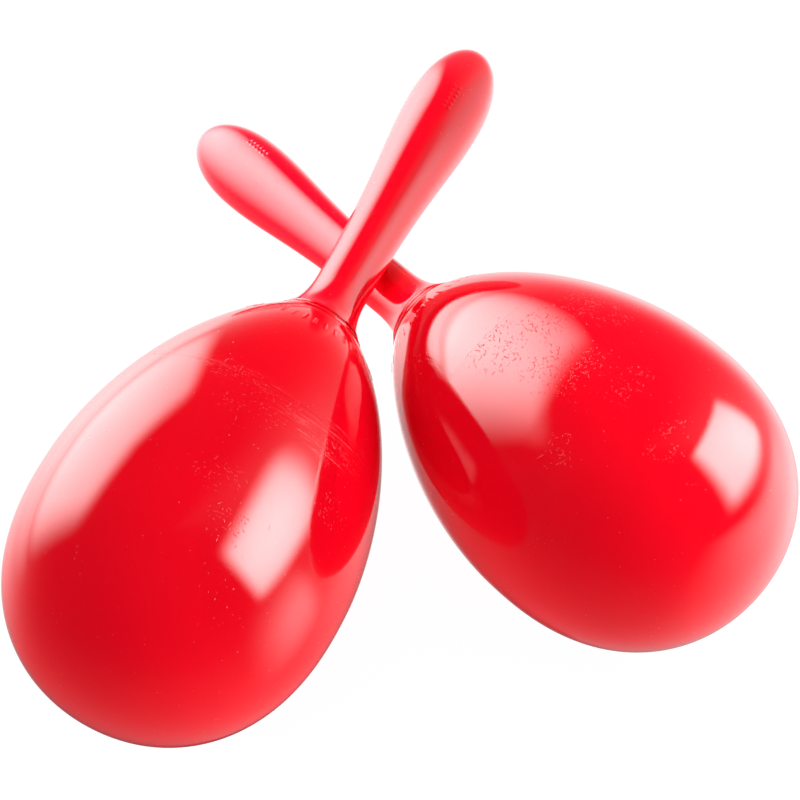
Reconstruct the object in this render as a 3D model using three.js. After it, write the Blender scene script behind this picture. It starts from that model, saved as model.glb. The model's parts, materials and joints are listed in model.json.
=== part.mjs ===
// A crossed pair of handled egg shakers (egg maracas): each is a moulded handle pushed and glued
// onto an egg that is welded from two shell halves, with loose steel shot inside.
// Millimetres, +Z up. The pair lies on the plane z = 0: the right shaker rests on its egg and on
// the end of its handle, and the left one rests on its egg and on the right one's handle.
import * as THREE from "three";

// Egg: two super-ellipse halves that meet at the widest circle. Heights run along the shaker's
// own axis, from the round end of the egg to the end of the handle.
const EGG_RADIUS = 22.1;
const ROUND_LENGTH = 27.1;
const NARROW_LENGTH = 39.2;
const ROUND_POWERS = [2.41, 2.08];
const NARROW_POWERS = [1.84, 1.51];
const WALL = 2;

// Weld: a step joint, with a tongue on the round half inside the rim of the neck half.
const SEAM_HEIGHT = 42.5;
const TONGUE_LENGTH = 2.5;
const WELD_GAP = 0.2;

// Neck of the egg: a low raised seat with a spigot, and the handle that is glued over them.
const SEAT_RADIUS = 7;
const SEAT_RISE = 0.3;
const SPIGOT_RADIUS = 2.4;
const SPIGOT_TOP = 78;
const GLUE_GAP = 0.2;
const SKIRT_RADIUS = 6.1;
const SKIRT_LIP = 0.3;
const FLARE_SLOPE = [0.75, 1.15];
const FLARE_PULL = 4.4;
const NECK_RADIUS = 4.08;
const NECK_HEIGHT = 71;
const GRIP_RADIUS = 6.31;
const GRIP_HEIGHT = 107.8;
const NECK_PULL = 20.5;
const GRIP_PULL = 9.6;
const SHAKER_LENGTH = 120.65;
const DOME_POWER = 2.18;

// Shot: one layer of balls in staggered rows over the lowest part of the chamber.
const SHOT_RADIUS = 2.25;
const SHOT_GAP = 0.3;
const SHOT_PITCH = 4.8;
const SHOT_ROWS = [4, 5, 6, 5, 4];
const SETTLE_STEP = 0.01;

// How each shaker lies: compass heading of its handle, dip of its handle below level, and the
// place of the egg's round end in plan.
const RIGHT_LIE = { name: "right", heading: 132.9, dip: 11.15, x: 0, y: 0 };
const LEFT_LIE = { name: "left", heading: 67.9, dip: 0.4, x: -81.6, y: -19.7 };

// Facets.
const EGG_SEGMENTS = 32;
const HANDLE_SEGMENTS = 24;
const WALL_STEPS = 8;
const SEAT_STEPS = 3;
const CURVE_STEPS = 7;
const CHAMBER_STEPS = 160;
const SHOT_DETAIL = 1;

const EGG_LENGTH = ROUND_LENGTH + NARROW_LENGTH;
const QUARTER_TURN = Math.PI / 2;
const UP = new THREE.Vector3(0, 0, 1);

// Length and powers of the half of the egg that a height falls in, for a surface set in by inset.
function halfAt(height, inset) {
  const round = height < ROUND_LENGTH;
  const length = (round ? ROUND_LENGTH : NARROW_LENGTH) - inset;
  return { side: round ? -1 : 1, length, powers: round ? ROUND_POWERS : NARROW_POWERS };
}

// The point of an egg outline at an angle: -90 degrees is the round end, 90 the narrow tip.
function eggPoint(angle, inset) {
  const { side, length, powers } = halfAt(angle < 0 ? 0 : EGG_LENGTH, inset);
  const along = length * Math.abs(Math.sin(angle)) ** (2 / powers[0]);
  const radius = (EGG_RADIUS - inset) * Math.max(0, Math.cos(angle)) ** (2 / powers[1]);
  return new THREE.Vector2(radius, ROUND_LENGTH + side * along);
}

// The angle of an egg outline at a height.
function angleAtHeight(height, inset) {
  const { side, length, powers } = halfAt(height, inset);
  const share = Math.min(1, Math.abs(height - ROUND_LENGTH) / length);
  return side * Math.asin(share ** (powers[0] / 2));
}

// The height at which the narrow end of the egg has a radius.
function heightAtRadius(radius, inset) {
  const share = radius / (EGG_RADIUS - inset);
  return eggPoint(Math.acos(share ** (NARROW_POWERS[1] / 2)), inset).y;
}

// Points along an egg outline from one height to another.
function eggArc(fromHeight, toHeight, inset, steps) {
  const from = angleAtHeight(fromHeight, inset);
  const to = angleAtHeight(toHeight, inset);
  const points = [];
  for (let i = 0; i <= steps; i++) points.push(eggPoint(from + ((to - from) * i) / steps, inset));
  return points;
}

// Points moved up by a rise.
function lifted(points, rise) {
  return points.map((point) => new THREE.Vector2(point.x, point.y + rise));
}

// A point on the axis, where an outline starts or ends.
function onAxis(height) {
  return new THREE.Vector2(0, height);
}

// A solid turned about +Z from an outline of radius and height.
function turned(outline, segments) {
  const geometry = new THREE.LatheGeometry(outline, segments);
  geometry.rotateX(QUARTER_TURN);
  return geometry;
}

// Round half of the egg: a cup whose rim carries the inner tongue of the weld.
function roundHalfGeometry() {
  const rim = SEAM_HEIGHT - WELD_GAP / 2;
  const tongueTop = SEAM_HEIGHT + TONGUE_LENGTH - WELD_GAP / 2;
  const tongueInset = WALL / 2 + WELD_GAP / 2;
  const outline = [
    ...eggArc(0, rim, 0, WALL_STEPS),
    ...eggArc(rim, tongueTop, tongueInset, 1),
    ...eggArc(tongueTop, WALL, WALL, WALL_STEPS),
  ];
  outline[0].x = 0;
  outline[outline.length - 1].x = 0;
  return turned(outline, EGG_SEGMENTS);
}

// Neck half of the egg: a cup with the outer lip of the weld, a raised seat and a solid spigot.
function neckHalfGeometry() {
  const rim = SEAM_HEIGHT + WELD_GAP / 2;
  const lipRoot = SEAM_HEIGHT + TONGUE_LENGTH + WELD_GAP / 2;
  const lipInset = WALL / 2 - WELD_GAP / 2;
  const seatEdge = heightAtRadius(SEAT_RADIUS, 0);
  const seat = eggArc(seatEdge, heightAtRadius(SPIGOT_RADIUS, 0), 0, SEAT_STEPS);
  const inside = eggArc(EGG_LENGTH - WALL, lipRoot, WALL, WALL_STEPS);
  inside[0].x = 0;
  const outline = [
    ...inside,
    ...eggArc(lipRoot, rim, lipInset, 1),
    ...eggArc(rim, seatEdge, 0, WALL_STEPS),
    ...lifted(seat, SEAT_RISE),
    new THREE.Vector2(SPIGOT_RADIUS, SPIGOT_TOP),
    onAxis(SPIGOT_TOP),
  ];
  return turned(outline, EGG_SEGMENTS);
}

// Outer line of the handle: skirt lip, trumpet flare, neck, grip and rounded end.
function handleOutline(lipHeight) {
  const flare = new THREE.CubicBezierCurve(
    new THREE.Vector2(SKIRT_RADIUS, lipHeight + SKIRT_LIP),
    new THREE.Vector2(SKIRT_RADIUS - FLARE_SLOPE[0], lipHeight + SKIRT_LIP + FLARE_SLOPE[1]),
    new THREE.Vector2(NECK_RADIUS, NECK_HEIGHT - FLARE_PULL),
    new THREE.Vector2(NECK_RADIUS, NECK_HEIGHT),
  );
  const shaft = new THREE.CubicBezierCurve(
    new THREE.Vector2(NECK_RADIUS, NECK_HEIGHT),
    new THREE.Vector2(NECK_RADIUS, NECK_HEIGHT + NECK_PULL),
    new THREE.Vector2(GRIP_RADIUS, GRIP_HEIGHT - GRIP_PULL),
    new THREE.Vector2(GRIP_RADIUS, GRIP_HEIGHT),
  );
  const domePoints = [];
  for (let i = 1; i <= CURVE_STEPS; i++) domePoints.push(domePoint((QUARTER_TURN * i) / CURVE_STEPS));
  return [...flare.getPoints(CURVE_STEPS), ...shaft.getPoints(CURVE_STEPS).slice(1), ...domePoints];
}

// A point on the rounded end of the grip: 0 is the grip's widest circle, 90 degrees the end.
function domePoint(angle) {
  const rise = (SHAKER_LENGTH - GRIP_HEIGHT) * Math.sin(angle) ** (2 / DOME_POWER);
  const radius = GRIP_RADIUS * Math.max(0, Math.cos(angle)) ** (2 / DOME_POWER);
  return new THREE.Vector2(radius, GRIP_HEIGHT + rise);
}

// Handle: its hollow foot sits on the egg's seat and its blind bore takes the spigot.
function handleGeometry() {
  const boreRadius = SPIGOT_RADIUS + GLUE_GAP;
  const foot = lifted(
    eggArc(heightAtRadius(boreRadius, 0), heightAtRadius(SKIRT_RADIUS, 0), 0, SEAT_STEPS),
    SEAT_RISE + GLUE_GAP,
  );
  const outline = [
    onAxis(SPIGOT_TOP + GLUE_GAP),
    new THREE.Vector2(boreRadius, SPIGOT_TOP + GLUE_GAP),
    ...foot,
    ...handleOutline(foot[foot.length - 1].y),
  ];
  outline[outline.length - 1].x = 0;
  return turned(outline, HANDLE_SEGMENTS);
}

const redPlastic = { color: "#d4061c", roughness: 0.22, metalness: 0 };
const shotSteel = { color: "#9a9da1", roughness: 0.3, metalness: 1 };

function part(name, geometry, finish) {
  const mesh = new THREE.Mesh(geometry, new THREE.MeshStandardMaterial(finish));
  mesh.name = name;
  return mesh;
}

// One shaker, turned to lie as asked and lowered until it touches z = 0.
function shaker({ name, heading, dip, x, y }) {
  const group = new THREE.Group();
  group.add(part(`${name}_egg_round_half`, roundHalfGeometry(), redPlastic));
  group.add(part(`${name}_egg_neck_half`, neckHalfGeometry(), redPlastic));
  group.add(part(`${name}_handle`, handleGeometry(), redPlastic));
  group.rotation.set(0, THREE.MathUtils.degToRad(90 + dip), THREE.MathUtils.degToRad(heading), "ZYX");
  group.position.set(x, y, 0);
  group.position.z = -new THREE.Box3().setFromObject(group, true).min.z;
  group.updateMatrixWorld(true);
  return group;
}

const shotGeometry = new THREE.IcosahedronGeometry(SHOT_RADIUS, SHOT_DETAIL);
const chamberOutline = eggArc(WALL, EGG_LENGTH - WALL, WALL, CHAMBER_STEPS);

// Distance from a point inside a shaker's chamber to the chamber's wall.
function wallDistance(point, shell) {
  const local = shell.worldToLocal(point.clone());
  const section = new THREE.Vector2(Math.hypot(local.x, local.y), local.z);
  return Math.min(...chamberOutline.map((wallPoint) => wallPoint.distanceTo(section)));
}

// The place in plan under which the chamber's floor is lowest, at the height of the shaker's axis.
function chamberLowPoint(shell) {
  const floor = chamberOutline.map(({ x, y }) => shell.localToWorld(new THREE.Vector3(x, 0, y)));
  const lowest = floor.reduce((low, point) => (point.z < low.z ? point : low));
  return lowest.setZ(EGG_RADIUS);
}

// Shot of one shaker: each ball is lowered straight down until it rests on the chamber's floor.
function shot({ name, heading }, shell) {
  const group = new THREE.Group();
  const along = new THREE.Vector3(1, 0, 0).applyAxisAngle(UP, THREE.MathUtils.degToRad(heading));
  const across = along.clone().applyAxisAngle(UP, QUARTER_TURN);
  const lowPoint = chamberLowPoint(shell);
  const rowPitch = SHOT_PITCH * Math.sin(Math.PI / 3);
  SHOT_ROWS.forEach((count, row) => {
    for (let i = 0; i < count; i++) {
      const ball = lowPoint.clone();
      ball.addScaledVector(along, (i - (count - 1) / 2) * SHOT_PITCH);
      ball.addScaledVector(across, (row - (SHOT_ROWS.length - 1) / 2) * rowPitch);
      while (wallDistance(ball, shell) > SHOT_RADIUS + SHOT_GAP) ball.z -= SETTLE_STEP;
      const number = String(group.children.length + 1).padStart(2, "0");
      const mesh = part(`${name}_shot_${number}`, shotGeometry, shotSteel);
      mesh.position.copy(ball);
      group.add(mesh);
    }
  });
  return group;
}

const pair = new THREE.Group();
for (const lie of [RIGHT_LIE, LEFT_LIE]) {
  const shell = shaker(lie);
  pair.add(shell, shot(lie, shell));
}

// The frame's origin is under the middle of the pair, on the plane it lies on.
const box = new THREE.Box3().setFromObject(pair, true);
const middle = box.getCenter(new THREE.Vector3());
pair.position.set(-middle.x, -middle.y, -box.min.z);

export default pair;
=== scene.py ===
"""The looks of a crossed pair of glossy red egg shakers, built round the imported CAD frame.

Each shaker is three mouldings turned about one axis: two welded egg halves and a glued handle.
Shapes are in millimetres along the shaker's own axis, from the egg's round end (0) to the
handle's end. The record's grip mounts say where each axis lies.
"""
import json
import math

import bmesh
import bpy
import numpy as np
from mathutils import Matrix, Vector


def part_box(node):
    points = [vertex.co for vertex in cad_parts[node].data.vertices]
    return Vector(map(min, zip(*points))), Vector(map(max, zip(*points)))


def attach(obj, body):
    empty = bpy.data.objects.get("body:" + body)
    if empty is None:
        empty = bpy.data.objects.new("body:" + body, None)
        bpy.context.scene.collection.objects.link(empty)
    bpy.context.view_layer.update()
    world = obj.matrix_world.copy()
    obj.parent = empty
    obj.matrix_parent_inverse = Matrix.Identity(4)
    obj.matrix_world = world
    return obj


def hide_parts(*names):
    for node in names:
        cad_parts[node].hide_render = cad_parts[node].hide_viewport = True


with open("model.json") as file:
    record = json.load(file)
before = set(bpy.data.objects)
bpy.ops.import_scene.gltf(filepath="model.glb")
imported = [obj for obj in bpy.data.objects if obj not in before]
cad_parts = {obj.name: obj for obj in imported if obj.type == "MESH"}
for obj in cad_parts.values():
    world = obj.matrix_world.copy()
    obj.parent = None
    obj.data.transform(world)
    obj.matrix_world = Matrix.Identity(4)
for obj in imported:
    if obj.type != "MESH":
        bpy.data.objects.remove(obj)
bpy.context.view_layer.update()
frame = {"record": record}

MM = 0.001
TAU = 2 * math.pi

# ---------------------------------------------------------------- shape of one shaker, in mm
EGG_RADIUS = 22.1
ROUND_LENGTH = 27.1
NARROW_LENGTH = 39.2
EGG_LENGTH = ROUND_LENGTH + NARROW_LENGTH
ROUND_POWERS = (2.41, 2.08)
NARROW_POWERS = (1.84, 1.51)
WALL = 2.0

SEAM_HEIGHT = 42.5
TONGUE_LENGTH = 2.5
WELD_GAP = 0.2
SEAM_LINE = 0.015

SEAT_RADIUS = 7.0
SEAT_RISE = 0.3
SEAT_ROUNDING = 0.14
COLLAR_ROUNDING = 0.08
COLLAR_STEP = 0.05
SPIGOT_RADIUS = 2.4
SPIGOT_TOP = 78.0
GLUE_GAP = 0.2
LIP_GAP = 0.04
LIP_ROUNDING = 0.1
EDGE_ROUNDING = 0.06
SKIRT_RADIUS = 6.1
SKIRT_LIP = 0.3
FLARE_SLOPE = (0.75, 1.15)
FLARE_PULL = 4.4
NECK_RADIUS = 4.08
NECK_HEIGHT = 71.0
GRIP_RADIUS = 6.31
GRIP_HEIGHT = 107.8
NECK_PULL = 20.5
GRIP_PULL = 9.6
SHAKER_LENGTH = 120.65
DOME_POWER = 2.18

# How finely the pieces are turned: pitch along the outline (mm) and steps round the axis.
SKIN_PITCH = 0.5
STEP_PITCH = 1.0
INSIDE_PITCH = 1.5
SHOULDER_PITCH = 0.25
SEAT_PITCH = 0.35
FOOT_PITCH = 0.4
FLARE_PITCH = 0.2
RING_PITCH = 0.085
GRIP_PITCH = 0.11
PLAIN_SHAFT_STRIDE = 7
PLAIN_DOME_STRIDE = 5
ROUND_SEGMENTS = 288
NECK_SEGMENTS = 560
HANDLE_SEGMENTS = 400
SHARP_ANGLE = math.radians(35)


def egg_point(angle, inset=0.0):
    """Radius and height of the egg's outline at an angle, from -90 degrees (round end) to 90 (tip)."""
    round_end = angle < 0
    length = (ROUND_LENGTH if round_end else NARROW_LENGTH) - inset
    powers = ROUND_POWERS if round_end else NARROW_POWERS
    along = length * abs(math.sin(angle)) ** (2 / powers[0])
    radius = (EGG_RADIUS - inset) * max(0.0, math.cos(angle)) ** (2 / powers[1])
    return radius, ROUND_LENGTH + (-along if round_end else along)


def angle_at_height(height, inset=0.0):
    """The angle of the egg's outline at a height."""
    round_end = height < ROUND_LENGTH
    length = (ROUND_LENGTH if round_end else NARROW_LENGTH) - inset
    powers = ROUND_POWERS if round_end else NARROW_POWERS
    share = min(1.0, abs(height - ROUND_LENGTH) / length)
    return (-1 if round_end else 1) * math.asin(share ** (powers[0] / 2))


def height_at_radius(radius, inset=0.0):
    """The height at which the narrow end of the egg has a radius."""
    share = radius / (EGG_RADIUS - inset)
    return egg_point(math.acos(share ** (NARROW_POWERS[1] / 2)), inset)[1]


def spaced(points, pitch):
    """The same line with points at an even pitch along it, its two ends kept."""
    points = np.array(points, float)
    run = np.concatenate([[0], np.cumsum(np.hypot(*np.diff(points, axis=0).T))])
    count = max(2, int(round(run[-1] / pitch)) + 1)
    at = np.linspace(0, run[-1], count)
    return np.column_stack([np.interp(at, run, points[:, 0]), np.interp(at, run, points[:, 1])])


def egg_arc(from_height, to_height, inset, pitch):
    """Points of the egg's outline from one height to another, at an even pitch."""
    angles = np.linspace(angle_at_height(from_height, inset), angle_at_height(to_height, inset), 1500)
    return spaced([egg_point(a, inset) for a in angles], pitch)


def bezier(a, b, c, d, pitch):
    """Points of a cubic curve, at an even pitch."""
    t = np.linspace(0, 1, 400)[:, None]
    a, b, c, d = (np.array(p, float) for p in (a, b, c, d))
    line = a * (1 - t) ** 3 + 3 * b * t * (1 - t) ** 2 + 3 * c * t * t * (1 - t) + d * t**3
    return spaced(line, pitch)


def rounded(corner, before, after, radius, steps=5):
    """A small round in place of a corner between two directions."""
    corner, before, after = (np.array(p, float) for p in (corner, before, after))
    start = corner + (before - corner) / np.linalg.norm(before - corner) * radius
    end = corner + (after - corner) / np.linalg.norm(after - corner) * radius
    t = np.linspace(0, 1, steps)[:, None]
    return start * (1 - t) ** 2 + 2 * corner * t * (1 - t) + end * t * t


def joined(*parts):
    """One outline from several, without doubled points."""
    line = np.concatenate([np.array(p, float).reshape(-1, 2) for p in parts])
    keep = np.concatenate([[True], np.hypot(*np.diff(line, axis=0).T) > 1e-4])
    return line[keep]


# ---------------------------------------------------------------- raised marks
def bar_height(across, along, bars, rise, edge):
    """Height of raised round-ended bars. A bar is (across, along, across, along, half width)."""
    height = np.zeros(np.broadcast(across, along).shape)
    for a0, b0, a1, b1, half in bars:
        da, db = a1 - a0, b1 - b0
        t = np.clip(((across - a0) * da + (along - b0) * db) / max(1e-9, da * da + db * db), 0, 1)
        away = np.hypot(across - a0 - t * da, along - b0 - t * db) - half
        step = np.clip(0.5 - away / edge, 0, 1)
        height = np.maximum(height, rise * step * step * (3 - 2 * step))
    return height


def relief_of(bars, low, high, least_radius, around_radius, rise, edge):
    """A relief of bars for one stretch of height, on the part of the outline outside a radius."""

    def relief(turn, height, radius):
        raised = np.zeros(height.shape)
        on = (height[:, 0] > low) & (height[:, 0] < high) & (radius[:, 0] > least_radius)
        around = np.repeat(turn * around_radius, on.sum(), axis=0)
        raised[on] = bar_height(around, height[on], bars, rise, edge)
        return raised

    return relief


RING_RADIUS = 10.6
RING_MIDDLE = 58.4
RING_RISE = 0.07
RING_EDGE = 0.28
RING_BAND = 1.35
RING_TICKS = 44
RING_TICK = (1.3, 0.12)
RING_MARGIN = 0.05
RING_LEAST_RADIUS = 8


def ring_relief():
    """Plain even ticks all the way round the egg's shoulder."""
    length, half_width = RING_TICK
    bars = []
    for i in range(RING_TICKS):
        x = ((i + 0.5) / RING_TICKS - 0.5) * TAU * RING_RADIUS
        bars.append((x, RING_MIDDLE - length / 2, x, RING_MIDDLE + length / 2, half_width))
    low = RING_MIDDLE - RING_BAND - RING_MARGIN
    high = RING_MIDDLE + RING_BAND + RING_MARGIN
    return relief_of(bars, low, high, RING_LEAST_RADIUS, RING_RADIUS, RING_RISE, RING_EDGE)


GRIP_MARK_START = 104.2
GRIP_MARK_END = 109.4
GRIP_MARK_ANGLE = math.radians(14)
GRIP_MARK_ROWS = (-0.45, 0.45)
GRIP_MARK_DOTS = 6
GRIP_MARK_PITCH = 0.85
GRIP_MARK_RADIUS = 0.2
GRIP_MARK_RISE = 0.08
GRIP_MARK_EDGE = 0.22
GRIP_MARK_MARGIN = 0.6
GRIP_FINE_MARGIN = 0.8
GRIP_LEAST_RADIUS = 5


def grip_relief():
    """Two plain rows of dots near the end of the grip."""
    bars = []
    for row in GRIP_MARK_ROWS:
        x = GRIP_MARK_ANGLE * GRIP_RADIUS + row
        for i in range(GRIP_MARK_DOTS):
            y = GRIP_MARK_START + GRIP_MARK_PITCH * i
            bars.append((x, y, x + 0.01, y, GRIP_MARK_RADIUS))
    low, high = GRIP_MARK_START - GRIP_MARK_MARGIN, GRIP_MARK_END
    return relief_of(bars, low, high, GRIP_LEAST_RADIUS, GRIP_RADIUS, GRIP_MARK_RISE, GRIP_MARK_EDGE)


# ---------------------------------------------------------------- turned meshes
def shaker_matrix(side):
    """Places a shaker: its axis on local +Z, the round end of its egg at 0 and its upper side on +X."""
    mount = next(m for m in frame["record"]["mounts"] if m["name"] == side + "_grip")
    axis = Vector(mount["axis"]).normalized()
    pole = Vector(mount["pos_m"]) - axis * (GRIP_HEIGHT * MM)
    up = (Vector((0, 0, 1)) - axis * axis.z).normalized()
    across = axis.cross(up)
    turn = Matrix((up, across, axis)).transposed().to_4x4()
    return Matrix.Translation(pole) @ turn


def lathe_faces(rings, segments, closed):
    """Faces of a lathe of rings. An open one has its two points on the axis after the rings."""
    i = np.arange(rings if closed else rings - 1)[:, None]
    j = np.arange(segments)[None, :]
    j2 = (j + 1) % segments
    i2 = (i + 1) % rings
    corners = (i * segments + j, i * segments + j2, i2 * segments + j2, i2 * segments + j)
    faces = np.stack(corners, -1).reshape(-1, 4).tolist()
    if not closed:
        low, high = rings * segments, rings * segments + 1
        top = (rings - 1) * segments
        for k in range(segments):
            faces.append([low, (k + 1) % segments, k])
            faces.append([high, top + k, top + (k + 1) % segments])
    return faces


def add_turn_uv(mesh, points):
    """U says how far round the axis a corner is, from the lower side, and V how far along it."""
    corners = np.zeros(len(mesh.loops), np.int32)
    mesh.loops.foreach_get("vertex_index", corners)
    local = points[corners]
    u = np.arctan2(local[:, 1], local[:, 0]) / TAU + 0.5
    starts = np.repeat([p.loop_start for p in mesh.polygons], [p.loop_total for p in mesh.polygons])
    first = u[starts]
    u = np.where(u - first > 0.5, u - 1, np.where(first - u > 0.5, u + 1, u))
    v = local[:, 2] / SHAKER_LENGTH
    uv = mesh.uv_layers.new(name="turn")
    uv.data.foreach_set("uv", np.column_stack([u, v]).astype(np.float32).ravel())


def turned(name, outline, segments, place, relief=None):
    """A mesh turned from an outline of radius and height that starts and ends on the axis.
    relief(turn, height, radius) adds height along the surface's normal."""
    outline = np.array(outline, float)
    closed = outline[0, 0] > 1e-6
    if not closed:
        outline[0, 0] = outline[-1, 0] = 0
    rings = outline if closed else outline[1:-1]
    turn = (np.arange(segments) / segments) * TAU - math.pi
    radius = np.repeat(rings[:, 0:1], segments, axis=1)
    height = np.repeat(rings[:, 1:2], segments, axis=1)
    if relief is not None:
        slope = np.gradient(rings, axis=0)
        slope /= np.linalg.norm(slope, axis=1)[:, None]
        raised = relief(turn[None, :], height, radius)
        radius = radius + raised * slope[:, 1:2]
        height = height - raised * slope[:, 0:1]
    points = np.stack([radius * np.cos(turn), radius * np.sin(turn), height], axis=-1).reshape(-1, 3)
    if not closed:
        points = np.concatenate([points, [[0, 0, outline[0, 1]], [0, 0, outline[-1, 1]]]])
    matrix = np.array(place)
    world = (points * MM) @ matrix[:3, :3].T + matrix[:3, 3]
    mesh = bpy.data.meshes.new(name)
    mesh.from_pydata(world.tolist(), [], lathe_faces(len(rings), segments, closed))
    add_turn_uv(mesh, points)
    mesh.shade_smooth()
    mesh.set_sharp_from_angle(angle=SHARP_ANGLE)
    mesh.validate()
    piece = bpy.data.objects.new(name, mesh)
    bpy.context.scene.collection.objects.link(piece)
    return piece


def round_half(side, place):
    """The cup with the egg's round end and the inner tongue of the weld."""
    rim = SEAM_HEIGHT - SEAM_LINE / 2
    tongue_top = SEAM_HEIGHT + TONGUE_LENGTH - WELD_GAP / 2
    tongue_inset = WALL / 2 + WELD_GAP / 2
    outline = joined(
        egg_arc(0, rim, 0, SKIN_PITCH),
        egg_arc(rim, tongue_top, tongue_inset, STEP_PITCH),
        egg_arc(tongue_top, WALL, WALL, INSIDE_PITCH),
    )
    return turned(side + "_round_shell", outline, ROUND_SEGMENTS, place)


def neck_half(side, place):
    """The cup with the egg's narrow end, the raised seat and the spigot."""
    rim = SEAM_HEIGHT + SEAM_LINE / 2
    lip_root = SEAM_HEIGHT + TONGUE_LENGTH + WELD_GAP / 2
    lip_inset = WALL / 2 - WELD_GAP / 2
    seat_edge = height_at_radius(SEAT_RADIUS)
    seat = egg_arc(seat_edge, height_at_radius(SPIGOT_RADIUS), 0, SEAT_PITCH) + (0, SEAT_RISE)
    foot = egg_point(angle_at_height(seat_edge))
    below_foot = egg_point(angle_at_height(seat_edge - 1))
    outline = joined(
        egg_arc(EGG_LENGTH - WALL, lip_root, WALL, INSIDE_PITCH),
        egg_arc(lip_root, rim, lip_inset, STEP_PITCH),
        egg_arc(rim, RING_MIDDLE - RING_BAND, 0, SKIN_PITCH),
        egg_arc(RING_MIDDLE - RING_BAND, RING_MIDDLE + RING_BAND, 0, RING_PITCH),
        egg_arc(RING_MIDDLE + RING_BAND, seat_edge - COLLAR_STEP, 0, SHOULDER_PITCH),
        rounded(foot, below_foot, seat[0], COLLAR_ROUNDING),
        rounded(seat[0], foot, seat[1], SEAT_ROUNDING),
        seat[1:],
        (SPIGOT_RADIUS, SPIGOT_TOP),
        (0, SPIGOT_TOP),
    )
    return turned(side + "_neck_shell", outline, NECK_SEGMENTS, place, ring_relief())


def grip_dome():
    """The rounded end of the grip, fine where the marks are."""
    points = []
    for angle in np.linspace(0, math.pi / 2, 900):
        radius = GRIP_RADIUS * max(0.0, math.cos(angle)) ** (2 / DOME_POWER)
        rise = (SHAKER_LENGTH - GRIP_HEIGHT) * math.sin(angle) ** (2 / DOME_POWER)
        points.append((radius, GRIP_HEIGHT + rise))
    points = spaced(points, GRIP_PITCH)
    marked = points[:, 1] < GRIP_MARK_END
    return joined(points[marked], points[~marked][::PLAIN_DOME_STRIDE])


def grip_shaft():
    """The line from the neck to the widest part of the grip, fine where the marks are."""
    points = bezier(
        (NECK_RADIUS, NECK_HEIGHT),
        (NECK_RADIUS, NECK_HEIGHT + NECK_PULL),
        (GRIP_RADIUS, GRIP_HEIGHT - GRIP_PULL),
        (GRIP_RADIUS, GRIP_HEIGHT),
        GRIP_PITCH,
    )
    plain = points[:, 1] < GRIP_MARK_START - GRIP_FINE_MARGIN
    return joined(points[plain][::PLAIN_SHAFT_STRIDE], points[~plain])


def handle(side, place):
    """The handle: hollow foot with a rounded lip, trumpet flare, neck, grip and blind bore."""
    bore = SPIGOT_RADIUS + GLUE_GAP
    foot = egg_arc(height_at_radius(bore), height_at_radius(SKIRT_RADIUS), 0, FOOT_PITCH)
    foot = foot + (0, SEAT_RISE + LIP_GAP)
    lip = foot[-1, 1]
    flare = bezier(
        (SKIRT_RADIUS, lip + SKIRT_LIP),
        (SKIRT_RADIUS - FLARE_SLOPE[0], lip + SKIRT_LIP + FLARE_SLOPE[1]),
        (NECK_RADIUS, NECK_HEIGHT - FLARE_PULL),
        (NECK_RADIUS, NECK_HEIGHT),
        FLARE_PITCH,
    )
    outline = joined(
        (0, SPIGOT_TOP + GLUE_GAP),
        (bore, SPIGOT_TOP + GLUE_GAP),
        foot[:-1],
        rounded(foot[-1], foot[-2], flare[0], EDGE_ROUNDING),
        rounded(flare[0], foot[-1], flare[1], LIP_ROUNDING),
        flare[1:],
        grip_shaft(),
        grip_dome(),
        (0, SHAKER_LENGTH),
    )
    return turned(side + "_grip", outline, HANDLE_SEGMENTS, place, grip_relief())


BALLS = 24
BELT_WIDTH = 0.12
BELT_RISE = 0.012
FLAT_START = 0.965
FLAT_DEPTH = 0.25


def ball(name, node, seed):
    """A tumbled steel ball, a little out of round, in the place of a CAD ball."""
    lo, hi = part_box(node)
    centre = (lo + hi) / 2
    radius = (hi - lo).length / 2 / math.sqrt(3)
    mesh = bpy.data.meshes.new(name)
    piece = bpy.data.objects.new(name, mesh)
    bm = bmesh.new()
    bmesh.ops.create_icosphere(bm, subdivisions=4, radius=1)
    spin = np.random.default_rng(seed)
    pole = Vector(spin.normal(size=3)).normalized()
    for v in bm.verts:
        d = v.co.normalized()
        belt = math.exp(-((d.dot(pole) / BELT_WIDTH) ** 2))
        flat = max(0.0, abs(d.dot(pole)) - FLAT_START)
        v.co = centre + d * radius * (1 - BELT_RISE * (1 - belt) - FLAT_DEPTH * flat)
    bm.to_mesh(mesh)
    bm.free()
    mesh.shade_smooth()
    bpy.context.scene.collection.objects.link(piece)
    return piece


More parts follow.
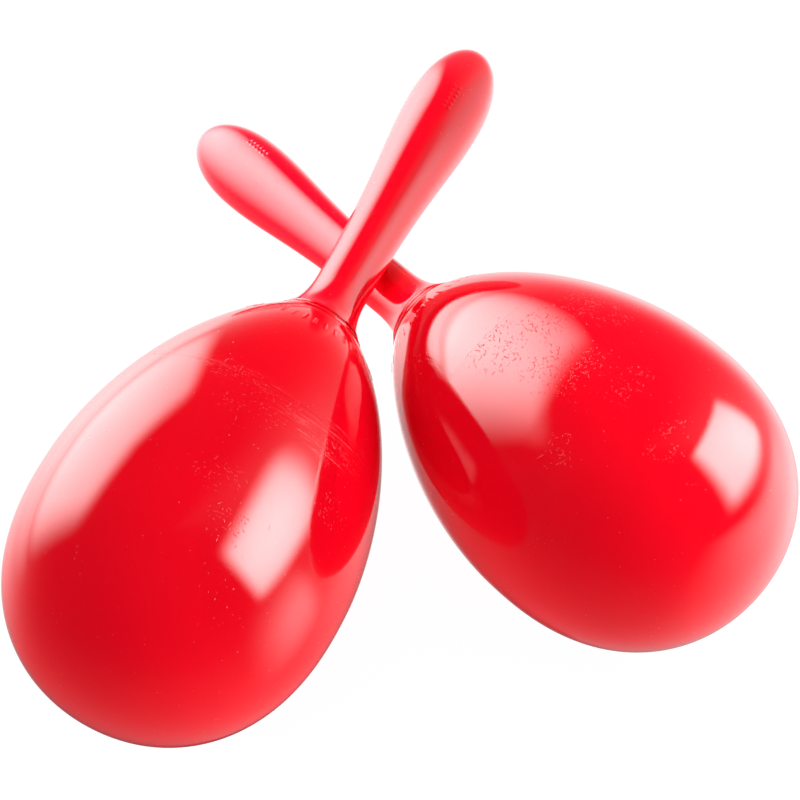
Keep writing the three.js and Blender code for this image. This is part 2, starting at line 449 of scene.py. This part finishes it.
# ---------------------------------------------------------------- materials
class Graph:
    """Short names for the shader nodes used here."""

    def __init__(self, tree):
        self.tree = tree

    def node(self, kind, **settings):
        n = self.tree.nodes.new(kind)
        for key, value in settings.items():
            setattr(n, key, value)
        return n

    def put(self, socket, value):
        if isinstance(value, bpy.types.NodeSocket):
            self.tree.links.new(value, socket)
        elif value is not None:
            socket.default_value = value

    def math(self, operation, *values, clamp=False):
        n = self.node("ShaderNodeMath", operation=operation, use_clamp=clamp)
        for socket, value in zip(n.inputs, values):
            self.put(socket, value)
        return n.outputs[0]

    def vector(self, operation, *values):
        n = self.node("ShaderNodeVectorMath", operation=operation)
        for socket, value in zip(n.inputs, values):
            self.put(socket, value)
        return n.outputs["Vector"]

    def scaled(self, vector, factor):
        n = self.node("ShaderNodeVectorMath", operation="SCALE")
        self.put(n.inputs[0], vector)
        n.inputs["Scale"].default_value = factor
        return n.outputs["Vector"]

    def total(self, start, *terms):
        """A start value, with each value times its weight added."""
        for value, weight in terms:
            start = self.math("ADD", start, self.math("MULTIPLY", value, weight))
        return start

    def noise(self, vector, scale, detail=2.0, roughness=0.5, distortion=0.0):
        n = self.node("ShaderNodeTexNoise")
        self.put(n.inputs["Vector"], vector)
        n.inputs["Scale"].default_value = scale
        n.inputs["Detail"].default_value = detail
        n.inputs["Roughness"].default_value = roughness
        n.inputs["Distortion"].default_value = distortion
        return n.outputs["Fac"]

    def ramp(self, value, from_min, from_max, to_min=0.0, to_max=1.0):
        n = self.node("ShaderNodeMapRange", interpolation_type="SMOOTHSTEP")
        self.put(n.inputs["Value"], value)
        limits = {"From Min": from_min, "From Max": from_max, "To Min": to_min, "To Max": to_max}
        for key, limit in limits.items():
            self.put(n.inputs[key], limit)
        return n.outputs["Result"]

    def xyz(self, vector):
        n = self.node("ShaderNodeSeparateXYZ")
        self.put(n.inputs[0], vector)
        return n.outputs

    def combine(self, x, y, z):
        n = self.node("ShaderNodeCombineXYZ")
        for socket, value in zip(n.inputs, (x, y, z)):
            self.put(socket, value)
        return n.outputs[0]

    def mix(self, factor, a, b):
        n = self.node("ShaderNodeMix", data_type="RGBA")
        self.put(n.inputs[0], factor)
        self.put(n.inputs[6], a)
        self.put(n.inputs[7], b)
        return n.outputs[2]


def solid_mm(g):
    """The place in space, in mm."""
    return g.scaled(g.node("ShaderNodeTexCoord").outputs["Object"], 1 / MM)


def set_relief(g, shader, relief):
    """Gives a shader a relief in mm."""
    bump = g.node("ShaderNodeBump")
    bump.inputs["Strength"].default_value = 1.0
    bump.inputs["Distance"].default_value = MM
    g.put(bump.inputs["Height"], relief)
    g.put(shader.inputs["Normal"], bump.outputs["Normal"])


SCRATCH_DENSITY = 0.65
SHORTEST_SCRATCH = 0.25
# Each size of scratch: its cell, half width, half length, bend and offset, in mm.
SCRATCHES = (
    (0.8, 0.07, 0.4, 0.4, (3.1, 7.7, 0)),
    (0.5, 0.065, 0.22, -0.8, (11.3, 2.9, 0)),
    (1.6, 0.07, 0.75, 0.2, (5.9, 17.1, 0)),
)


def scratches(g, place, worn, cell, half_width, half_length, bend, offset):
    """Thin short scratches, at most one to a cell, each at its own angle, as many as worn says.
    place is in mm on the surface."""
    cells = g.node("ShaderNodeTexVoronoi", voronoi_dimensions="2D", feature="F1")
    moved = g.vector("ADD", place, offset)
    g.put(cells.inputs["Vector"], moved)
    cells.inputs["Scale"].default_value = 1 / cell
    for_angle, for_keeping, for_length = g.xyz(cells.outputs["Color"])
    x, y, _ = g.xyz(g.vector("SUBTRACT", moved, cells.outputs["Position"]))
    angle = g.math("MULTIPLY", for_angle, TAU)
    cos, sin = g.math("COSINE", angle), g.math("SINE", angle)
    along = g.math("ADD", g.math("MULTIPLY", x, cos), g.math("MULTIPLY", y, sin))
    across = g.math("SUBTRACT", g.math("MULTIPLY", y, cos), g.math("MULTIPLY", x, sin))
    across = g.math("ADD", across, g.math("MULTIPLY", g.math("MULTIPLY", along, along), bend))
    line = g.ramp(g.math("ABSOLUTE", across), half_width, half_width * 0.3)
    share = g.total(SHORTEST_SCRATCH, (for_length, 1 - SHORTEST_SCRATCH))
    reach = g.math("MULTIPLY", half_length, share)
    end = g.ramp(g.math("ABSOLUTE", along), reach, g.math("MULTIPLY", reach, 0.5))
    least = g.math("SUBTRACT", 1.0, g.math("MULTIPLY", worn, SCRATCH_DENSITY))
    kept = g.math("GREATER_THAN", for_keeping, least)
    return g.math("MULTIPLY", g.math("MULTIPLY", line, end), kept)


def patch(g, turn, height, at_turn, at_height, turn_size, height_size):
    """A soft-edged patch on a shaker's surface: 1 in its middle, 0 outside. Angles are in degrees."""
    a = g.math("DIVIDE", g.math("SUBTRACT", turn, at_turn), turn_size)
    b = g.math("DIVIDE", g.math("SUBTRACT", height, at_height), height_size)
    r = g.math("ADD", g.math("MULTIPLY", a, a), g.math("MULTIPLY", b, b))
    return g.ramp(r, 1.0, 0.1)


def strongest(g, turn, height, patches):
    """The strongest of several patches, each with its strength last."""
    most = None
    for *place, strength in patches:
        one = g.math("MULTIPLY", patch(g, turn, height, *place), strength)
        most = one if most is None else g.math("MAXIMUM", most, one)
    return most


def weld_streaks(g, u, turn, height):
    """Fine streaks that run in arcs round the dressed weld, and a weaker patch of them beside it."""
    run = g.math("MULTIPLY", u, TAU * SKIN_RADIUS * 0.16)
    stretched = g.combine(run, g.math("MULTIPLY", height, 2.6), 0.0)
    streaks = g.ramp(g.noise(stretched, 1.0, 4.0, 0.75), 0.5, 0.68)
    band = g.ramp(g.math("ABSOLUTE", g.math("SUBTRACT", height, SEAM_HEIGHT + 0.3)), 1.5, 0.3)
    arcs = g.ramp(g.noise(g.combine(g.math("MULTIPLY", u, 9.0), 0.0, 0.0), 1.0, 2.0), 0.38, 0.6)
    beside = strongest(g, turn, height, WELD_SIDE)
    return g.math("MULTIPLY", streaks, g.math("MAXIMUM", g.math("MULTIPLY", band, arcs), beside))


SKIN_RADIUS = 20.0
SMOOTH = 0.055
DEEP_RED = (0.65, 0.0007, 0.0085, 1)
BRIGHT_RED = (0.7, 0.0009, 0.0095, 1)
# Pale tint of scratches, weld streaks and dust: partly scuffed plastic, partly a painted sheen for the
# light the rough marks scatter.
SCUFF_AND_SHEEN_RED = (0.9, 0.25, 0.28, 1)


def red_plastic(name, patches, at_weld):
    """Polished red moulding: clear gloss with smudges, specks of dust and clusters of fine scratches,
    and streaks at the weld if at_weld. The marks are tinted pale: partly their own scuffed colour,
    partly a painted sheen for the light they scatter."""
    material = bpy.data.materials.new(name)
    material.use_nodes = True
    g = Graph(material.node_tree)
    shader = material.node_tree.nodes["Principled BSDF"]
    u, v, _ = g.xyz(g.node("ShaderNodeUVMap", uv_map="turn").outputs["UV"])
    turn = g.math("MULTIPLY", g.math("SUBTRACT", u, 0.5), 360.0)
    height = g.math("MULTIPLY", v, SHAKER_LENGTH)
    solid = solid_mm(g)
    flat = g.combine(g.math("MULTIPLY", u, TAU * SKIN_RADIUS), height, 0.0)

    broken = g.ramp(g.noise(solid, 0.4, 4.0, 0.65), 0.36, 0.54)
    worn = g.math("MULTIPLY", strongest(g, turn, height, patches), broken)
    lines, *others = (scratches(g, flat, worn, *kind) for kind in SCRATCHES)
    for other in others:
        lines = g.math("MAXIMUM", lines, other)
    streaks = weld_streaks(g, u, turn, height) if at_weld else 0.0
    smudge = g.ramp(g.noise(solid, 0.09, 3.0, 0.55, 0.6), 0.35, 0.75)
    dust = g.ramp(g.noise(solid, 2.9, 1.0), 0.75, 0.8)

    rough = g.total(SMOOTH, (smudge, 0.035), (worn, 0.03), (lines, 0.1), (streaks, 0.4), (dust, 0.3))
    g.put(shader.inputs["Roughness"], rough)

    colour = g.mix(g.ramp(g.noise(solid, 0.05, 2.0), 0.3, 0.7), DEEP_RED, BRIGHT_RED)
    marks = g.math("ADD", g.math("ADD", lines, streaks), dust)
    # The marks' pale tint is partly their own scuffed colour and partly a painted sheen, since their
    # gloss is cut below.
    scuff_and_sheen = g.math("MULTIPLY", marks, 0.12, clamp=True)
    g.put(shader.inputs["Base Color"], g.mix(scuff_and_sheen, colour, SCUFF_AND_SHEEN_RED))
    shader.inputs["IOR"].default_value = 1.5
    g.put(shader.inputs["Specular IOR Level"], g.total(0.5, (lines, -0.5)))

    waves = g.math("MULTIPLY", g.noise(solid, 0.035, 2.0), 0.06)
    grain = g.noise(solid, 0.9, 2.0)
    relief = g.total(waves, (grain, 0.0006), (lines, -0.01), (streaks, -0.006), (dust, 0.01))
    set_relief(g, shader, relief)
    return material


STEEL = (0.62, 0.63, 0.64, 1)
DULL_STEEL = (0.42, 0.42, 0.43, 1)


def shot_steel():
    """Tumbled steel: bright, with a fine random scuff and patches of duller metal."""
    material = bpy.data.materials.new("tumbled_steel")
    material.use_nodes = True
    g = Graph(material.node_tree)
    shader = material.node_tree.nodes["Principled BSDF"]
    solid = solid_mm(g)
    dull = g.noise(solid, 0.8, 3.0, 0.6)
    scuff = g.noise(solid, 9.0, 3.0, 0.7, 1.5)
    g.put(shader.inputs["Base Color"], g.mix(dull, STEEL, DULL_STEEL))
    g.put(shader.inputs["Roughness"], g.total(0.2, (dull, 0.25)))
    shader.inputs["Metallic"].default_value = 1.0
    set_relief(g, shader, g.math("MULTIPLY", scuff, 0.004))
    return material


# Wear: (degrees round from the upper side, height, size in degrees, size in mm, strength).
WEAR = {
    "right": (
        (-17, 39.5, 15, 5, 1.0), (0, 37.5, 16, 4, 1.0), (18, 36.5, 15, 4, 0.9),
        (-13, 30.5, 13, 5, 1.0), (-3, 28, 9, 4, 0.9), (22, 32, 13, 3, 0.8),
        (-1, 22, 11, 3, 0.8), (-34, 23, 9, 3, 0.7), (-5, 14, 14, 2.5, 0.9),
    ),
    "left": (
        (-4, 42.2, 16, 2.2, 1.0), (20, 41.6, 22, 2, 0.8), (46, 39.7, 17, 3, 0.6),
        (12, 38, 16, 3, 0.5), (13, 28.5, 12, 3, 0.6), (22, 23.5, 9, 3, 0.6),
        (53, 32.5, 9, 3, 0.6),
    ),
}
GRIP_WEAR = ((0, 95, 180, 25, 0.04),)
WELD_SIDE = ((38, 40.2, 26, 3.2, 0.7),)

pieces = {}
for side in ("right", "left"):
    place = shaker_matrix(side)
    body = side + "_shaker"
    egg_look = red_plastic(side + "_egg_plastic", WEAR[side], side == "left")
    grip_look = red_plastic(side + "_grip_plastic", GRIP_WEAR, False)
    for make, node, look, slot in (
        (round_half, "_egg_round_half", egg_look, "egg_plastic"),
        (neck_half, "_egg_neck_half", egg_look, "egg_plastic"),
        (handle, "_handle", grip_look, "handle_plastic"),
    ):
        piece = make(side, place)
        pieces[piece.name] = piece
        piece.data.materials.append(look)
        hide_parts(side + node)
        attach(piece, body)

steel = shot_steel()
for side_number, side in enumerate(("right", "left")):
    for number in range(1, BALLS + 1):
        node = f"{side}_shot_{number:02d}"
        piece = ball(f"{side}_ball_{number:02d}", node, 100 * side_number + number)
        pieces[piece.name] = piece
        piece.data.materials.append(steel)
        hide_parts(node)
        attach(piece, node)


# ---------------------------------------------------------------- studio
TABLE_SIZE = 6.0
TABLE_MATT = 0.1
TABLE_GLOW = 0.97
TABLE_BOUNCE = 2.0


def table():
    """A plain pale floor, on which the pair's shadows are only faint."""
    material = bpy.data.materials.new("white_table")
    material.use_nodes = True
    g = Graph(material.node_tree)
    output = next(n for n in material.node_tree.nodes if n.type == "OUTPUT_MATERIAL")
    matt = g.node("ShaderNodeBsdfDiffuse")
    matt.inputs["Color"].default_value = (TABLE_MATT, TABLE_MATT, TABLE_MATT, 1)
    glow = g.node("ShaderNodeEmission")
    glow.inputs["Color"].default_value = (1, 1, 1, 1)
    lit = g.node("ShaderNodeLightPath").outputs["Is Diffuse Ray"]
    g.put(glow.inputs["Strength"], g.ramp(lit, 0.0, 1.0, TABLE_GLOW, TABLE_BOUNCE))
    both = g.node("ShaderNodeAddShader")
    g.put(both.inputs[0], matt.outputs[0])
    g.put(both.inputs[1], glow.outputs[0])
    g.put(output.inputs["Surface"], both.outputs[0])
    mesh = bpy.data.meshes.new("table")
    s = TABLE_SIZE / 2
    mesh.from_pydata([(-s, -s, 0), (s, -s, 0), (s, s, 0), (-s, s, 0)], [], [(0, 1, 2, 3)])
    mesh.materials.append(material)
    sheet = bpy.data.objects.new("table", mesh)
    bpy.context.scene.collection.objects.link(sheet)
    sheet.visible_glossy = False
    sheet.visible_shadow = False


def soft_step(g, value, edge):
    """1 where a value is well under 1 and 0 well over it, with a soft edge of this half width."""
    return g.ramp(value, 1 + edge, 1 - edge)


def softbox_strength(light, spread, edge, fade, peak):
    """Soft edges, left, right, lower and upper, and a fade away from the brightest point."""
    light.use_nodes = True
    g = Graph(light.node_tree)
    x, y, _ = g.xyz(g.node("ShaderNodeNewGeometry").outputs["Parametric"])
    x = g.math("MULTIPLY", g.math("SUBTRACT", x, 0.5), 2 * spread[0])
    y = g.math("MULTIPLY", g.math("SUBTRACT", y, 0.5), 2 * spread[1])
    left, right, bottom, top = edge
    window = g.math("MULTIPLY", soft_step(g, g.math("MULTIPLY", x, -1.0), left), soft_step(g, x, right))
    window = g.math("MULTIPLY", window, soft_step(g, g.math("MULTIPLY", y, -1.0), bottom))
    window = g.math("MULTIPLY", window, soft_step(g, y, top))
    dx, dy = g.math("SUBTRACT", x, peak[0]), g.math("SUBTRACT", y, peak[1])
    away = g.math("ADD", g.math("MULTIPLY", dx, dx), g.math("MULTIPLY", dy, dy))
    bright = g.math("MAXIMUM", 0.0, g.math("SUBTRACT", 1.0, g.math("MULTIPLY", away, fade / 2)))
    g.put(light.node_tree.nodes["Emission"].inputs["Strength"], g.math("MULTIPLY", window, bright))


def softbox(name, receivers, place, aim, size, radiance, edge, fade, peak, share):
    """A soft light for some of the pieces: one lamp for their gloss, and one with a share of its
    strength for the colour of their body."""
    spread = (1 + max(edge[:2]), 1 + max(edge[2:]))
    group = bpy.data.collections.new(name)
    for piece in receivers:
        group.objects.link(piece)
    for use, strength in (("gloss", 1.0), ("body", share)):
        if not strength:
            continue
        light = bpy.data.lights.new(name + "_" + use, "AREA")
        light.shape = "RECTANGLE"
        light.size, light.size_y = size[0] * spread[0], size[1] * spread[1]
        light.cycles.max_bounces = 0 if use == "gloss" else 8
        light.energy = math.pi * light.size * light.size_y * radiance * strength
        softbox_strength(light, spread, edge, fade, peak)
        lamp = bpy.data.objects.new(light.name, light)
        bpy.context.scene.collection.objects.link(lamp)
        lamp.location = place
        lamp.rotation_euler = [math.radians(a) for a in aim]
        lamp.visible_camera = False
        lamp.visible_diffuse = use == "body"
        lamp.visible_glossy = use == "gloss"
        lamp.light_linking.receiver_collection = group


# Each light: who it lights, where it is (m), which way it is turned (degrees), its size (m),
# then its radiance, its soft edges to the left, right, bottom and top (half sizes), how fast it
# fades, where it peaks (half sizes), and the share that lights the body of the plastic.
# These rows weren't set by hand: least-squares fits of the reflections printed them, and they were
# rounded. The last value of each row is not from the fits.
SOFTBOXES = {
    "left_egg_left_softbox": (
        "left_egg", (-0.569, 0.493, 0.203), (95.8, -3.5, -134.7), (0.876, 0.732),
        9.1, (0.15, 0.5, 0.3, 0.4), 0.71, (0.12, 0.23), 0.73,
    ),
    "left_egg_right_softbox": (
        "left_egg", (3.276, 0.132, 1.817), (53.3, 17.1, 79.7), (2.94, 2.81),
        16.4, (0.21, 0.43, 0.33, 0.37), 0.71, (-0.24, 0.04), 0.73,
    ),
    "left_egg_left_bounce": (
        "left_egg", (-0.569, 0.456, -0.28), (119, -2.5, -136.2), (0.9, 0.182),
        1.6, (0.14, 0.56, 1.3, 0.38), 0.14, (0.6, 1.5), 0,
    ),
    "left_egg_right_bounce": (
        "left_egg", (0.402, -0.178, -0.06), (98.6, 3.4, 46.5), (0.216, 0.271),
        3.3, (1.17, 0.47, 1.3, 1.2), 0.26, (0.4, -0.46), 0,
    ),
    "right_egg_left_softbox": (
        "right_egg", (-0.133, 0.229, 0.129), (72.5, -4.6, -128.5), (0.405, 0.261),
        14.2, (0.6, 0.8, 0.15, 0.3), 0.31, (1.5, -0.13), 1.33,
    ),
    "right_egg_left_bounce": (
        "right_egg", (-0.485, 0.515, -0.123), (60.5, 2.5, 179.3), (0.757, 0.199),
        5.4, (0.19, 0.43, 0.63, 0.4), 0.65, (0.5, 0.67), 0,
    ),
    "right_egg_right_softbox": (
        "right_egg", (0.984, 0.392, 0.535), (37.7, -64.1, 118.5), (0.773, 1.23),
        15.0, (0.28, 0.19, 0.4, 0.2), 0.36, (0.16, 0.63), 1.33,
    ),
    "right_egg_right_bounce": (
        "right_egg", (0.348, 0.058, -0.023), (149.6, 9.5, 43), (0.503, 0.223),
        3.0, (0.36, 1.3, 1.05, 1.3), 0.18, (-1.0, 0.87), 0,
    ),
    "left_grip_left_softbox": (
        "left_grip", (-0.15, 0.251, 0.163), (110.9, -1.9, -161.7), (0.17, 0.38),
        9.6, (0.27, 0.18, 0.57, 1.22), 0.6, (0.25, -0.16), 8.0,
    ),
    "left_grip_right_softbox": (
        "left_grip", (0.349, 0.035, 0.262), (104, -53.8, 159.6), (0.179, 0.926),
        10.1, (1.28, 0.72, 0.58, 1.16), 0.31, (-1.26, 1.2), 6.5,
    ),
    "right_grip_left_softbox": (
        "right_grip", (-0.99, 0.67, 2.6), (78, -5, -109), (3.5, 5.7),
        16.3, (1.2, 1.2, 0.34, 0.34), 0.16, (-1.3, 1.0), 2.5,
    ),
}


def receivers_of(part):
    """The pieces of an egg, with its balls, or of a grip."""
    side, kind = part.split("_")
    own = {name: piece for name, piece in pieces.items() if name.startswith(side)}
    return [piece for name, piece in own.items() if ("grip" in name) == (kind == "grip")]


for name, (part, *rest) in SOFTBOXES.items():
    softbox(name, receivers_of(part), *rest)

# Soft glows that reflections see in the room: azimuth from +Y towards +X, elevation, their spreads
# (degrees) and radiance. These rows and the room's radiance were printed by the same fits.
ROOM_RADIANCE = 0.03
GLOWS = (
    (35, -35, 40, 12.5, 1.27),
    (67, 11, 15.6, 30, 1.3),
    (-18, -61, 19, 7, 1.6),
    (-46, -28, 23.5, 16, 2.16),
    (142, -64, 79, 36.5, 0.37),
)
# What lights the body of the plastic from the room: all round, from behind, above and the left.
FILL = 0.2
BACK_FILL = 1.3
TOP_FILL = 0.4
SIDE_FILL = 1.0


def studio_world():
    """Pale all round. Reflections see a dim room with soft glows, mostly bounce off the table."""
    world = bpy.data.worlds.new("studio")
    bpy.context.scene.world = world
    world.use_nodes = True
    world.cycles.sampling_method = "NONE"
    g = Graph(world.node_tree)
    x, y, z = g.xyz(g.node("ShaderNodeTexCoord").outputs["Generated"])
    azimuth = g.math("DEGREES", g.math("ARCTAN2", x, y))
    elevation = g.math("DEGREES", g.math("ARCSINE", z))
    room = ROOM_RADIANCE
    for at_azimuth, at_elevation, wide, high, radiance in GLOWS:
        a = g.math("WRAP", g.math("SUBTRACT", azimuth, at_azimuth), 180.0, -180.0)
        a = g.math("DIVIDE", a, wide)
        e = g.math("DIVIDE", g.math("SUBTRACT", elevation, at_elevation), high)
        r = g.math("ADD", g.math("MULTIPLY", a, a), g.math("MULTIPLY", e, e))
        glow = g.math("EXPONENT", g.math("MULTIPLY", r, -0.5))
        room = g.math("ADD", room, g.math("MULTIPLY", glow, radiance))
    path = g.node("ShaderNodeLightPath").outputs
    fill = g.math("ADD", g.ramp(y, 0.3, 0.9, FILL, BACK_FILL), g.ramp(z, 0.5, 1.0, 0.0, TOP_FILL))
    fill = g.math("ADD", fill, g.ramp(x, -0.3, -0.9, 0.0, SIDE_FILL))
    seen = g.mix(path["Is Diffuse Ray"], g.combine(room, room, room), g.combine(fill, fill, fill))
    seen = g.mix(path["Is Camera Ray"], seen, (1, 1, 1, 1))
    g.put(world.node_tree.nodes["Background"].inputs["Color"], seen)


table()
studio_world()

# The lens and the camera's place were printed by a fit of the pair's outline.
camera = bpy.data.cameras.new("camera")
camera.lens = 63.6
camera.sensor_width = 36
camera.clip_start = 0.005
view = bpy.data.objects.new("camera", camera)
bpy.context.scene.collection.objects.link(view)
view.matrix_world = Matrix((
    (0.9986, -0.0525, -0.0, -0.00182),
    (0.0458, 0.8704, -0.4901, -0.10376),
    (0.0258, 0.4895, 0.8716, 0.19287),
    (0, 0, 0, 1),
))
bpy.context.scene.camera = view
bpy.context.scene.view_settings.view_transform = "Standard"
